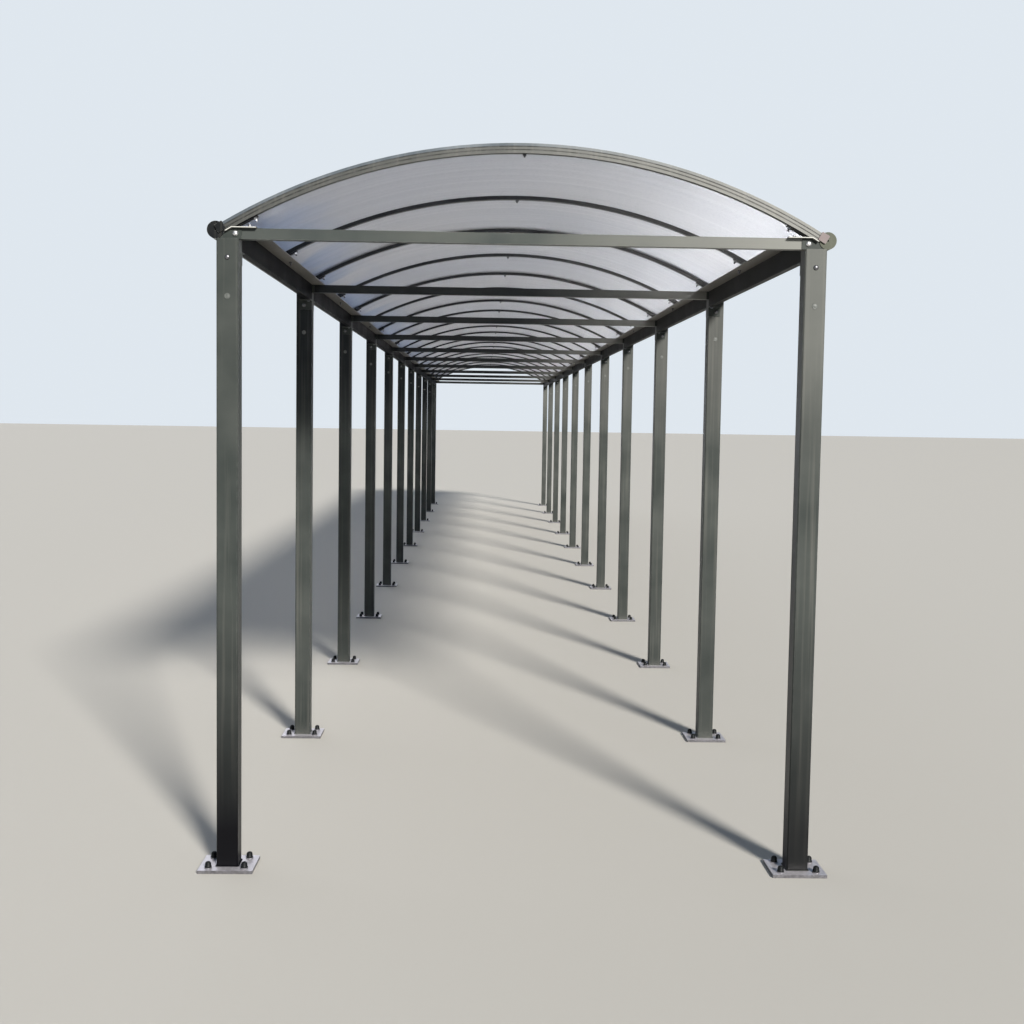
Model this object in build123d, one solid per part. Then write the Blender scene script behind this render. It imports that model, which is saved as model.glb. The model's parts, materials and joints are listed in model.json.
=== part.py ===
from build123d import *
import math
import os

# A covered walkway: two rows of square posts on bolted foot plates carry tie
# beams, eaves purlins and a shallow barrel roof of curved translucent sheets.
# X runs across the walkway, Y along it and Z up. The origin is on the ground
# below the middle of the roof. Lengths are in millimetres, angles in degrees.
# Right-hand pieces are on the +X side, front pieces on the -Y side.

# Layout
BAY = 2100.0                  # from the centre of one frame to the next
BAY_COUNT = 10
WIDTH_OVER_POSTS = 2240.0     # outer post face to outer post face
POST_TOP = 2352.0             # height of the post heads above the ground

# Posts and foot plates
POST_SIZE = 80.0
POST_WALL = 3.0
POST_CORNER = 4.0             # bevel along the edges of the tube
POST_HEAD = 5.0               # plate welded into the top of the tube
FOOT_WIDTH = 205.0            # across the walkway
FOOT_LENGTH = 180.0           # along the walkway
FOOT_THICKNESS = 12.0
ANCHOR_HOLE = 14.0
ANCHOR_SPACING_ACROSS = 135.0
ANCHOR_SPACING_ALONG = 115.0

# Tie beams and the shoes that hold their ends on the post heads
TIE_SIZE = 40.0
TIE_WALL = 3.0
TIE_END_GAP = 0.5             # between the end of the tie and the shoe web
SHOE_CHEEK = 4.0
SHOE_WEB = 4.0                # between the end of the tie and the gutter
SHOE_REACH = 10.0             # how far the cheeks run inward past the post
SHOE_TOE = 8.0                # from the outer post face to the toe of the saddle

# Eaves purlins and their seat angles
PURLIN_HEIGHT = 80.0
PURLIN_WIDTH = 25.0
PURLIN_WALL = 2.5
PURLIN_END_GAP = 1.0          # between the purlin and the face of the post
SEAT_LEG = 50.0
SEAT_THICKNESS = 4.0
SEAT_WIDTH = 60.0

# Folded eaves plate: a flat flange on the ties and purlins, and a sloping lip
EAVES_THICKNESS = 3.0
EAVES_FLANGE = 90.0
EAVES_LIP = 27.0
LIP_SEAT = 12.0               # from the purlin to where the hoops bear on the lip

# Barrel roof, measured on its cross section
ARCH_RADIUS = 2112.0          # underside of the hoops
HOOP_DEPTH = 17.0
HOOP_WIDTH = 30.0
SHEET_THICKNESS = 10.0
SHEET_JOINT = 6.0             # expansion gap between neighbouring sheets
STRIP_THICKNESS = 6.0
STRIP_WIDTH = 50.0
STRAP_THICKNESS = 6.0
STRAP_REACH = 88.0            # inward from the fold of the eaves plate

# Round eaves gutter
GUTTER_RADIUS = 32.0
GUTTER_WALL = 2.5
LIP_GAP = 4.0                 # from the end of the eaves lip to the gutter
SLOT_CLEARANCE = 1.0          # on each side of the sheet in the gutter slot
SHEET_INSERTION = 24.0        # how far the sheet edge runs into the gutter
CAP_SCREW_HOLE = 7.0

# End trim that closes the sheet edges at both ends of the roof
END_THICKNESS = 4.0           # trim leg and gutter caps, which finish flush
TRIM_LEG = 36.0
TRIM_NOTCH = 1.0              # between the trim leg and the top of the eaves plate
TRIM_GROOVE = 1.5
TRIM_SETBACK = 13.0           # from the outer face of the end posts to the trim
TRIM_SLIP = 1.0               # between the sheet edge and the trim leg
TRIM_CAP_HEIGHT = 33.0
TRIM_CAP_LENGTH = 32.0
TRIM_CAP_THICKNESS = 7.0
TRIM_CAP_CORNER = 2.0         # bevel of its corners

# Fits
CURVE_FIT = 0.3               # between curved faces that lie against each other
SEAL_GAP = 0.8                # foam seal between a sheet and what covers it

# Frame and bay places along the walkway
frame_places = [BAY * (i - BAY_COUNT / 2) for i in range(BAY_COUNT + 1)]
bay_places = [place + BAY / 2 for place in frame_places[:-1]]
front_frame = frame_places[0]

# Heights and distances across that the pieces share
post_outer = WIDTH_OVER_POSTS / 2
post_inner = post_outer - POST_SIZE
post_centre = post_outer - POST_SIZE / 2
tie_top = POST_TOP + TIE_SIZE
eaves_top = tie_top + EAVES_THICKNESS
purlin_outer = post_inner + PURLIN_WIDTH
purlin_low = tie_top - PURLIN_HEIGHT

# The lip of the eaves plate is a tangent of the hoop underside, which gives the
# lip its slope, the fold its place and the arch its centre. The gutter stands
# just outside the end of the lip, level with the post heads.
lip_slope = math.asin((purlin_outer + LIP_SEAT) / ARCH_RADIUS)
slope_sin = math.sin(lip_slope)
slope_cos = math.cos(lip_slope)
slope_tan = math.tan(lip_slope)
fold = purlin_outer + EAVES_THICKNESS * math.tan(lip_slope / 2)
tangent_across = ARCH_RADIUS * slope_sin
tangent_height = eaves_top - (tangent_across - fold) * slope_tan + CURVE_FIT / slope_cos
arch_centre = tangent_height - ARCH_RADIUS * slope_cos
gutter_inner = fold + EAVES_LIP * slope_cos + LIP_GAP
gutter_centre = gutter_inner + GUTTER_RADIUS
gutter_height = POST_TOP + GUTTER_RADIUS
tie_end = gutter_inner - SHOE_WEB
sheet_radius = ARCH_RADIUS + HOOP_DEPTH
strip_radius = sheet_radius + SHEET_THICKNESS
roof_radius = strip_radius + STRIP_THICKNESS

# Ends of the roof, measured out from the centre of the first and last frame
trim_face = POST_SIZE / 2 - TRIM_SETBACK
gutter_end = trim_face - END_THICKNESS
sheet_end = gutter_end - TRIM_SLIP
gutter_length = BAY * BAY_COUNT + 2 * gutter_end


def along(sketch, start, length):
    """Extrudes a cross section, drawn as (across, height), along Y from start."""
    return Pos(0, start + length, 0) * extrude(Plane.XZ * sketch, amount=length)


def block(x0, x1, length, z0, z1):
    """A square-edged bar along Y, centred on Y = 0."""
    body = Box(x1 - x0, length, z1 - z0, align=(Align.MIN, Align.CENTER, Align.MIN))
    return Pos(x0, 0, z0) * body


def outline(*points):
    """A closed face through the given points."""
    return make_face(Polyline(*points, close=True))


def to_left(shape):
    """The left-hand copy of a right-hand piece."""
    return mirror(shape, about=Plane.YZ)


def to_rear(shape):
    """The rear copy of a front piece."""
    return mirror(shape, about=Plane.XZ)


def repeated(piece, places):
    """One copy of a piece at each place along the walkway."""
    return [Pos(0, place, 0) * piece for place in places]


def arch_band(inner, outer, reach):
    """The part of the arch section between two radii, out to reach each side."""
    ring = Pos(0, arch_centre) * (Circle(outer) - Circle(inner))
    corner = (reach, arch_centre + math.sqrt(inner**2 - reach**2))
    far = (corner[0] + outer * slope_sin, corner[1] + outer * slope_cos)
    window = outline(
        (0, arch_centre), corner, far, (-far[0], far[1]), (-corner[0], corner[1])
    )
    return ring & window


def gutter_round(radius):
    """A circle about the axis of the right-hand gutter."""
    return Pos(gutter_centre, gutter_height) * Circle(radius)


def gutter_cope():
    """The space that both gutters take up, with the fit of a coped end."""
    right = gutter_round(GUTTER_RADIUS + CURVE_FIT)
    return right + to_left(right)


def over_lip():
    """The area above the underside of the sloping lip, on the cross section."""
    reach = 2 * EAVES_LIP
    end = (purlin_outer + reach * slope_cos, tie_top - reach * slope_sin)
    return outline(
        (purlin_outer, tie_top), end, (end[0], eaves_top + 1), (purlin_outer, eaves_top + 1)
    )


def below_eaves(clearance):
    """The area below the top of the eaves plate raised by a clearance, past the gutter."""
    level = eaves_top + clearance
    far = gutter_centre + GUTTER_RADIUS
    far_level = level - (far - fold) * slope_tan
    return outline((0, level), (fold, level), (far, far_level), (far, 0), (0, 0))


# Post: square tube with bevelled edges and a plate welded into its head
def post():
    bore = Rectangle(POST_SIZE - 2 * POST_WALL, POST_SIZE - 2 * POST_WALL)
    square = Rectangle(POST_SIZE, POST_SIZE)
    ring = chamfer(square.vertices(), POST_CORNER) - bore
    tube = Pos(0, 0, FOOT_THICKNESS) * extrude(ring, amount=POST_TOP - FOOT_THICKNESS)
    head = Pos(0, 0, POST_TOP - POST_HEAD) * extrude(bore, amount=POST_HEAD)
    return Pos(post_centre, 0, 0) * (tube + head)


# Foot plate: flat plate with four anchor holes. The plates of the inner frames
# have eight-sided holes of the same width, which keeps the long rows light.
def foot_plate(hole):
    places = GridLocations(ANCHOR_SPACING_ACROSS, ANCHOR_SPACING_ALONG, 2, 2)
    face = Rectangle(FOOT_WIDTH, FOOT_LENGTH) - places * hole
    return Pos(post_centre, 0, 0) * extrude(face, amount=FOOT_THICKNESS)


def foot_plates():
    round_hole = Circle(ANCHOR_HOLE / 2)
    flat_hole = RegularPolygon(ANCHOR_HOLE / 2, 8, major_radius=False)
    ends = repeated(foot_plate(round_hole), (frame_places[0], frame_places[-1]))
    return ends + repeated(foot_plate(flat_hole), frame_places[1:-1])


# Tie beam: square tube whose top corners are cut back under the lips
def tie_beam():
    side = TIE_SIZE - 2 * TIE_WALL
    low = POST_TOP + TIE_WALL
    tube = block(-tie_end, tie_end, TIE_SIZE, POST_TOP, tie_top)
    bore = block(-tie_end, tie_end, side, low, low + side)
    corner = along(over_lip(), -TIE_SIZE, 2 * TIE_SIZE)
    return tube - bore - corner - to_left(corner)


# Tie shoe: two cheeks beside the tie and a web that is a saddle for the gutter
def tie_shoe():
    inner = post_inner - SHOE_REACH
    toe = post_outer - SHOE_TOE
    depth = TIE_SIZE + 2 * SHOE_CHEEK
    side = outline((inner, POST_TOP), (toe, POST_TOP), (toe, tie_top), (inner, tie_top))
    side = side - over_lip() - gutter_round(GUTTER_RADIUS + CURVE_FIT)
    pocket = block(inner, tie_end + TIE_END_GAP, TIE_SIZE, POST_TOP, tie_top)
    return along(side, -depth / 2, depth) - pocket


# Purlin: flat rectangular tube between neighbouring posts
def purlin():
    length = BAY - POST_SIZE - 2 * PURLIN_END_GAP
    tube = block(post_inner, purlin_outer, length, purlin_low, tie_top)
    bore = block(
        post_inner + PURLIN_WALL,
        purlin_outer - PURLIN_WALL,
        length,
        purlin_low + PURLIN_WALL,
        tie_top - PURLIN_WALL,
    )
    return tube - bore


# Seat angle: one leg on the face of the post, the other under the purlin end
def seat_angle():
    face = POST_SIZE / 2
    section = outline(
        (face, purlin_low),
        (face + SEAT_LEG, purlin_low),
        (face + SEAT_LEG, purlin_low - SEAT_THICKNESS),
        (face + SEAT_THICKNESS, purlin_low - SEAT_THICKNESS),
        (face + SEAT_THICKNESS, purlin_low - SEAT_LEG),
        (face, purlin_low - SEAT_LEG),
    )
    return Pos(post_inner, 0, 0) * extrude(Plane.YZ * section, amount=SEAT_WIDTH)


# Eaves plate: one long folding on each side, flush with the end posts
def eaves_plate():
    inner = fold - EAVES_FLANGE
    end = (fold + EAVES_LIP * slope_cos, eaves_top - EAVES_LIP * slope_sin)
    end_low = (end[0] - EAVES_THICKNESS * slope_sin, end[1] - EAVES_THICKNESS * slope_cos)
    section = outline(
        (inner, eaves_top),
        (fold, eaves_top),
        end,
        end_low,
        (purlin_outer, tie_top),
        (inner, tie_top),
    )
    length = BAY * BAY_COUNT + POST_SIZE
    return along(section, -length / 2, length)


# Gutter tube: slotted along its upper inner side for the edge of the sheets
def gutter_tube():
    ring = gutter_round(GUTTER_RADIUS) - gutter_round(GUTTER_RADIUS - GUTTER_WALL)
    slot = arch_band(
        sheet_radius - SLOT_CLEARANCE, strip_radius + SLOT_CLEARANCE, gutter_centre
    )
    return along(ring - slot, -gutter_length / 2, gutter_length)


# Gutter cap: a disc with its screw hole in the middle
def gutter_cap():
    disc = gutter_round(GUTTER_RADIUS) - gutter_round(CAP_SCREW_HOLE / 2)
    return along(disc, front_frame - trim_face, END_THICKNESS)


# Hoop: curved bar whose ends are coped to the gutters
def hoop():
    band = arch_band(ARCH_RADIUS, sheet_radius - CURVE_FIT, gutter_centre)
    return along(band - gutter_cope(), -HOOP_WIDTH / 2, HOOP_WIDTH)


# Foot strap: short bar from the eaves plate up the underside of a hoop
def foot_strap():
    far = fold - STRAP_REACH
    far_height = arch_centre + math.sqrt(ARCH_RADIUS**2 - far**2) - CURVE_FIT
    pitch = math.atan2(far_height - eaves_top, STRAP_REACH)
    far_low = (
        far - STRAP_THICKNESS * math.sin(pitch),
        far_height - STRAP_THICKNESS * math.cos(pitch),
    )
    heel = (fold - STRAP_THICKNESS / math.sin(pitch), eaves_top)
    section = outline((fold, eaves_top), (far, far_height), far_low, heel)
    return along(section, -HOOP_WIDTH / 2, HOOP_WIDTH)


# Roof sheet: curved over one bay, longer at both ends of the roof
def roof_sheet(index):
    front = frame_places[index] + SHEET_JOINT / 2
    rear = frame_places[index + 1] - SHEET_JOINT / 2
    if index == 0:
        front = front_frame - sheet_end
    if index == BAY_COUNT - 1:
        rear = frame_places[-1] + sheet_end
    band = arch_band(sheet_radius, strip_radius, gutter_inner + SHEET_INSERTION)
    return along(band, front, rear - front)


# Cover strip: over the joint between two sheets
def cover_strip():
    band = arch_band(strip_radius + SEAL_GAP, roof_radius, gutter_centre)
    return along(band - gutter_cope(), -STRIP_WIDTH / 2, STRIP_WIDTH)


# End trim: a flange over the end sheet and a grooved leg in front of the hoop,
# notched over the eaves plates
def end_trim():
    width = trim_face + STRIP_WIDTH / 2
    flange = along(arch_band(strip_radius + SEAL_GAP, roof_radius, gutter_centre), 0, width)
    leg = along(arch_band(roof_radius - TRIM_LEG, roof_radius, gutter_centre), 0, END_THICKNESS)
    trim = flange + leg
    for middle in (roof_radius - TRIM_LEG / 3, roof_radius - 2 * TRIM_LEG / 3):
        groove = arch_band(middle - TRIM_GROOVE / 2, middle + TRIM_GROOVE / 2, gutter_centre)
        trim -= along(groove, 0, TRIM_GROOVE)
    notch = along(below_eaves(TRIM_NOTCH), 0, END_THICKNESS)
    cope = along(gutter_cope(), 0, width) + notch + to_left(notch)
    return Pos(0, front_frame - trim_face, 0) * (trim - cope)


# Trim cap: a flat plug over the end of the trim, on the gutter cap
def trim_cap():
    middle = (TRIM_CAP_LENGTH + CAP_SCREW_HOLE) / 2
    place = (gutter_centre - middle * slope_cos, gutter_height + middle * slope_sin)
    square = Rectangle(TRIM_CAP_LENGTH, TRIM_CAP_HEIGHT)
    face = chamfer(square.vertices(), TRIM_CAP_CORNER)
    plug = Pos(*place) * Rot(0, 0, -math.degrees(lip_slope)) * face
    front = front_frame - trim_face - TRIM_CAP_THICKNESS
    return along(plug, front, TRIM_CAP_THICKNESS)


def four_corners(piece):
    """The four copies of a piece that stands at the front right corner."""
    sides = [piece, to_left(piece)]
    return sides + [to_rear(side) for side in sides]


def both_sides(nodes, name, pieces):
    """Adds right-hand pieces and their left-hand copies."""
    nodes["right_" + name] = pieces
    nodes["left_" + name] = [to_left(piece) for piece in pieces]


def walkway():
    """All pieces, by name."""
    nodes = {}
    both_sides(nodes, "posts", repeated(post(), frame_places))
    both_sides(nodes, "foot_plates", foot_plates())
    nodes["tie_beams"] = repeated(tie_beam(), frame_places)
    both_sides(nodes, "tie_shoes", repeated(tie_shoe(), frame_places))
    both_sides(nodes, "purlins", repeated(purlin(), bay_places))
    seats = repeated(seat_angle(), frame_places[:-1])
    seats += repeated(to_rear(seat_angle()), frame_places[1:])
    both_sides(nodes, "purlin_seats", seats)
    both_sides(nodes, "eaves_plate", [eaves_plate()])
    both_sides(nodes, "gutter_tube", [gutter_tube()])
    nodes["gutter_caps"] = four_corners(gutter_cap())
    nodes["front_hoop"] = repeated(hoop(), frame_places[:1])
    nodes["rear_hoop"] = repeated(hoop(), frame_places[-1:])
    nodes["frame_hoops"] = repeated(hoop(), frame_places[1:-1])
    nodes["mid_bay_hoops"] = repeated(hoop(), bay_places)
    both_sides(nodes, "hoop_feet", repeated(foot_strap(), frame_places + bay_places))
    for index in range(BAY_COUNT):
        nodes[f"roof_sheet_{index + 1:02d}"] = [roof_sheet(index)]
    nodes["cover_strips"] = repeated(cover_strip(), frame_places[1:-1])
    nodes["front_trim"] = [end_trim()]
    nodes["rear_trim"] = [to_rear(end_trim())]
    nodes["trim_caps"] = four_corners(trim_cap())
    return nodes


os.makedirs("parts", exist_ok=True)
for name, pieces in walkway().items():
    export_step(Compound(children=pieces), f"parts/{name}.step")
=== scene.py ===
# %% [markdown]
# # Dressing a covered walkway
#
# The construction model of a covered walkway comes in with its shapes finished:
# two rows of square steel posts on foot plates, tie beams, purlins, curved hoops
# and a shallow barrel roof of translucent sheets. This lesson adds what the eye
# reads as real: paint, zinc, plastic, welds, screws and bolts, a camera and light.
# Everything is in metres. X runs across the walkway, Y along it and Z up.

# %% Load the model
import json
import math

import bmesh
import bpy
from mathutils import Matrix, Vector


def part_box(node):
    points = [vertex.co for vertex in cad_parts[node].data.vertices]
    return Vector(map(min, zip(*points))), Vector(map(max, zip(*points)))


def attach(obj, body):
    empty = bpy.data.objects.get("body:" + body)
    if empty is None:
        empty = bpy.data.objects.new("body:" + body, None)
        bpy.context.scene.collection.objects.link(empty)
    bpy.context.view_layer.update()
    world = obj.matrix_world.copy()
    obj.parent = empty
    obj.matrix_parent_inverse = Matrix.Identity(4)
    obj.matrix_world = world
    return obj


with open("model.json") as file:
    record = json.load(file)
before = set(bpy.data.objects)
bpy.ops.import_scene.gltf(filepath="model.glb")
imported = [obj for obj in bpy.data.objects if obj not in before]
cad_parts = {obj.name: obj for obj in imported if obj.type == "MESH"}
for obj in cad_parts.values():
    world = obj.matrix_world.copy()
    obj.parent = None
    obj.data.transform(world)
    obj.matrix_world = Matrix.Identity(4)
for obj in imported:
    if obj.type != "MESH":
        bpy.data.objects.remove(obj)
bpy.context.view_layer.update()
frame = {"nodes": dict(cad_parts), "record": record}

# %% [markdown]
# ## Where the frames stand
#
# Most pieces repeat from frame to frame, so the lesson needs the places of the
# frames along Y and a few heights. The sizes of the posts are measured on the
# model itself, so a fastener always lands on what carries it. The roof is part of
# a circle, so its layers are radii about one centre. The hoops stop a hair, the
# curve fit, below the sheets.

# %% Places along and across the walkway
BAY = 2.1
BAY_COUNT = 10
FRAMES = [BAY * (i - BAY_COUNT / 2) for i in range(BAY_COUNT + 1)]
MID_BAYS = [place + BAY / 2 for place in FRAMES[:-1]]
HOOPS = sorted(FRAMES + MID_BAYS)
SIDES = (-1, 1)

post_low, post_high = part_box("right_posts")
plate_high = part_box("right_foot_plates")[1].z
post_inner, post_outer, post_top = post_low.x, post_high.x, post_high.z
post_centre = (post_inner + post_outer) / 2
post_half = (post_outer - post_inner) / 2
print("posts:", len(FRAMES), "a side, centre at", round(post_centre, 4), "top at", round(post_top, 4))

# %% The roof's layers
ARCH_RADIUS = 2.112
HOOP_DEPTH = 0.017
CURVE_FIT = 0.0003
SHEET_THICKNESS = 0.010
STRIP_THICKNESS = 0.006
ARCH_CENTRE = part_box("frame_hoops")[1].z + CURVE_FIT - HOOP_DEPTH - ARCH_RADIUS
SHEET_TOP = ARCH_RADIUS + HOOP_DEPTH + SHEET_THICKNESS
STRIP_TOP = SHEET_TOP + STRIP_THICKNESS
print("centre of the arch at", round(ARCH_CENTRE, 4), "outer radius", round(STRIP_TOP, 4))

# %% [markdown]
# ## The camera
#
# It stands in front of the walkway, a little left of its middle, at eye height. A
# camera is three directions and a place: where it looks, what is right and what is
# up. Building the matrix from these three keeps the small tilt of a hand-held
# camera, which a look-at constraint would take out.

# %% Camera from its place, its turns and its lens
CAMERA_PLACE = Vector((-0.1426, -15.4663, 1.7172))
YAW = 0.0235
PITCH = -0.0712
ROLL = -0.0155
LENS = 46.75
SENSOR_WIDTH = 36
FAR_CLIP = 500

ahead = Vector((math.sin(YAW) * math.cos(PITCH), math.cos(YAW) * math.cos(PITCH), math.sin(PITCH)))
level_right = Vector((math.cos(YAW), -math.sin(YAW), 0))
level_up = level_right.cross(ahead)
right = level_right * math.cos(ROLL) - level_up * math.sin(ROLL)
up = level_right * math.sin(ROLL) + level_up * math.cos(ROLL)

camera_data = bpy.data.cameras.new("eye_level")
camera_data.lens = LENS
camera_data.sensor_width = SENSOR_WIDTH
camera_data.clip_end = FAR_CLIP
camera = bpy.data.objects.new("eye_level", camera_data)
camera.matrix_world = Matrix.Translation(CAMERA_PLACE) @ Matrix((right, up, -ahead)).transposed().to_4x4()
bpy.context.collection.objects.link(camera)
bpy.context.scene.camera = camera
print("camera looks along", [round(v, 3) for v in ahead])

# %% [markdown]
# ## Light
#
# One large soft key light comes from behind the camera's right shoulder, as a low
# winter sun stands. An area lamp would fade with distance, so all the lamps are
# sun lamps, which light the whole walkway alike. A wide angle gives a sun lamp the
# soft shadow edge of a studio lamp.
#
# Milky sheets also glow when light comes through them. The back light does that
# on the right, where the real roof glares. It is left out of diffuse and glossy
# light, so it brightens the sheets and leaves the floor and the steel as they
# are. The rear fill is very wide and weak and keeps the far sides readable.

# %% A sun lamp, and the key light
SUN_AZIMUTH = math.radians(22)
SUN_HEIGHT = math.radians(27)


def sun_lamp(name, towards, energy, spread, colour=(1.0, 1.0, 1.0)):
    """A sun lamp that shines from a direction. Spread is how wide its disc is, in degrees."""
    lamp_data = bpy.data.lights.new(name, "SUN")
    lamp_data.energy = energy
    lamp_data.angle = math.radians(spread)
    lamp_data.color = colour
    lamp = bpy.data.objects.new(name, lamp_data)
    lamp.rotation_mode = "QUATERNION"
    lamp.rotation_quaternion = towards.to_track_quat("Z", "Y")
    bpy.context.collection.objects.link(lamp)
    print(name, "light from", [round(v, 2) for v in towards])
    return lamp


to_sun = Vector((
    math.sin(SUN_AZIMUTH) * math.cos(SUN_HEIGHT),
    -math.cos(SUN_AZIMUTH) * math.cos(SUN_HEIGHT),
    math.sin(SUN_HEIGHT),
))
sun_lamp("key", to_sun, 7.0, 9, (1.0, 0.97, 0.91))

# %% Back light and rear fill
back = sun_lamp("back", Vector((0.42, 0.86, 0.36)), 1.8, 25)
back.visible_diffuse = False
back.visible_glossy = False
sun_lamp("rear_fill", Vector((-0.50, 0.80, 0.45)), 0.95, 70, (0.96, 0.96, 1.0))

# %% [markdown]
# ## Room and floor
#
# The shade under a clear sky is blue and weak, while a studio's backdrop is pale
# and bright. One world can't be both, so it mixes two: the camera sees the pale
# one, and the blue one gives the light. The floor is a plain pale sheet a hair
# below the foot plates, large enough to reach the horizon; it isn't part of the
# walkway.

# %% Room light
SKY_LIGHT = (0.55, 0.74, 1.0, 1)
SKY_STRENGTH = 0.25
BACKDROP = (0.74, 0.80, 0.86, 1)

world = bpy.data.worlds.new("pale_room")
bpy.context.scene.world = world
bpy.context.scene.view_settings.view_transform = "Standard"
world.use_nodes = True
room = world.node_tree.nodes["Background"]
room.inputs["Color"].default_value = SKY_LIGHT
room.inputs["Strength"].default_value = SKY_STRENGTH
seen = world.node_tree.nodes.new("ShaderNodeBackground")
seen.inputs["Color"].default_value = BACKDROP
seen.inputs["Strength"].default_value = 1.0
rays = world.node_tree.nodes.new("ShaderNodeLightPath")
either = world.node_tree.nodes.new("ShaderNodeMixShader")
links = world.node_tree.links
links.new(rays.outputs["Is Camera Ray"], either.inputs[0])
links.new(room.outputs[0], either.inputs[1])
links.new(seen.outputs[0], either.inputs[2])
links.new(either.outputs[0], world.node_tree.nodes["World Output"].inputs["Surface"])
print("room light strength:", SKY_STRENGTH)

# %% Floor
FLOOR_REACH = 150
FLOOR_DROP = 0.0005

floor_mesh = bpy.data.meshes.new("floor")
bm = bmesh.new()
bmesh.ops.create_grid(bm, x_segments=1, y_segments=1, size=FLOOR_REACH)
bmesh.ops.translate(bm, verts=bm.verts, vec=(0, 0, -FLOOR_DROP))
bm.to_mesh(floor_mesh)
bm.free()
floor = bpy.data.objects.new("floor", floor_mesh)
bpy.context.collection.objects.link(floor)
floor_paint = bpy.data.materials.new("pale_floor")
floor_paint.use_nodes = True
floor_shader = floor_paint.node_tree.nodes["Principled BSDF"]
floor_shader.inputs["Base Color"].default_value = (0.44, 0.42, 0.385, 1)
floor_shader.inputs["Roughness"].default_value = 0.9
floor_mesh.materials.append(floor_paint)
print("floor reaches", FLOOR_REACH, "m each way")

# %% [markdown]
# ## Tools for materials
#
# Every finish below is a small network of nodes. It could be wired by hand in the
# shader editor, but a dozen finishes share most of their steps. These helpers
# place a node, set or link its inputs, and return the socket that the next node
# needs, which keeps each material readable as a recipe.

# %% Node helpers
def node(tree, kind, inputs=(), **settings):
    """A shader node with its settings, its input values and its links."""
    made = tree.nodes.new("ShaderNode" + kind)
    for key, value in settings.items():
        setattr(made, key, value)
    for key, value in dict(inputs).items():
        if isinstance(value, bpy.types.NodeSocket):
            tree.links.new(value, made.inputs[key])
        else:
            made.inputs[key].default_value = value
    return made


def maths(tree, operation, a, b=0.0, clamp=False):
    return node(tree, "Math", {0: a, 1: b}, operation=operation, use_clamp=clamp).outputs[0]


def product(tree, first, *others):
    """Masks multiplied, which leaves only what lies in all of them."""
    for other in others:
        first = maths(tree, "MULTIPLY", first, other)
    return first


def remap(tree, value, low, high, to_low=0.0, to_high=1.0):
    """A value stretched from one range to another, and held at its ends."""
    sockets = {"Value": value, "From Min": low, "From Max": high, "To Min": to_low, "To Max": to_high}
    return node(tree, "MapRange", sockets).outputs[0]


print("helpers for numbers are ready")


# %% Helpers for places and colours
def own_place(tree):
    """Each point's place on the object. A pattern on it stays put when a camera moves."""
    return node(tree, "TexCoord").outputs["Object"]


def split(tree, vector):
    """The X, Y and Z of a place or a direction."""
    return node(tree, "SeparateXYZ", {0: vector}).outputs


def faces_to(tree):
    """How far the surface faces along X, Y and Z, each from -1 to 1."""
    return split(tree, node(tree, "NewGeometry").outputs["Normal"])


def stretched(tree, place, across, along, height):
    """The place with each direction scaled, which draws a pattern out."""
    return node(tree, "Mapping", {"Vector": place, "Scale": (across, along, height)}).outputs[0]


def noise(tree, place, scale, detail=2.0):
    return node(tree, "TexNoise", {"Vector": place, "Scale": scale, "Detail": detail}).outputs[0]


def blend(tree, factor, a, b):
    """Colour a where the factor is 0, and colour b where it is 1."""
    return node(tree, "Mix", {0: factor, 6: a, 7: b}, data_type="RGBA").outputs[2]


def tint(tree, tone, mask, strength, colour):
    """The tone with some of a colour laid over it where the mask is."""
    return blend(tree, product(tree, mask, strength), tone, colour)


print("helpers for places and colours are ready")

# %% Start a material and give its shader relief and gloss
DIRT_ROUGHNESS = 0.3


def new_material(name, **constants):
    """A material with one Principled shader whose plain numbers are set on it."""
    material = bpy.data.materials.new(name)
    material.use_nodes = True
    shader = material.node_tree.nodes["Principled BSDF"]
    for key, value in constants.items():
        shader.inputs[key.replace("_", " ")].default_value = value
    return material, material.node_tree, shader


def bump(tree, shader, height, depth, strength):
    made = node(tree, "Bump", {"Height": height, "Distance": depth, "Strength": strength})
    tree.links.new(made.outputs[0], shader.inputs["Normal"])


def set_roughness(tree, shader, pattern, smooth, rough, dirt=None):
    """Roughness that follows a pattern. Dirt is matt, so where it lies it adds to it."""
    value = remap(tree, pattern, 0.0, 1.0, smooth, rough)
    if dirt is not None:
        value = maths(tree, "ADD", value, product(tree, dirt, DIRT_ROUGHNESS), clamp=True)
    tree.links.new(value, shader.inputs["Roughness"])


print("dirt adds", DIRT_ROUGHNESS, "to the roughness")

# %% [markdown]
# ## Effects that several finishes share
#
# Paint, zinc and plastic all have a fine grain, all gather dust where they look
# up, all carry traces of rain down their sides and all wear along their edges.
# Copied into every material, an effect would have to be changed many times. So
# each is one node group with named sockets, built once here, and each material
# places it with its own values.

# %% Group builder
def new_group(name, inputs, outputs):
    """An empty node group, its input sockets and its output sockets."""
    group = bpy.data.node_groups.new(name, "ShaderNodeTree")
    for label, kind, value in inputs:
        socket = group.interface.new_socket(label, in_out="INPUT", socket_type="NodeSocket" + kind)
        socket.default_value = value
    for label, kind in outputs:
        group.interface.new_socket(label, in_out="OUTPUT", socket_type="NodeSocket" + kind)
    return group, group.nodes.new("NodeGroupInput").outputs, group.nodes.new("NodeGroupOutput").inputs


def place_group(tree, group, **values):
    """The group in a material. Underscores in a value's name stand for spaces."""
    made = tree.nodes.new("ShaderNodeGroup")
    made.node_tree = group
    for key, value in values.items():
        socket = made.inputs[key.replace("_", " ")]
        if isinstance(value, bpy.types.NodeSocket):
            tree.links.new(value, socket)
        else:
            socket.default_value = value
    return made.outputs


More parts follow.
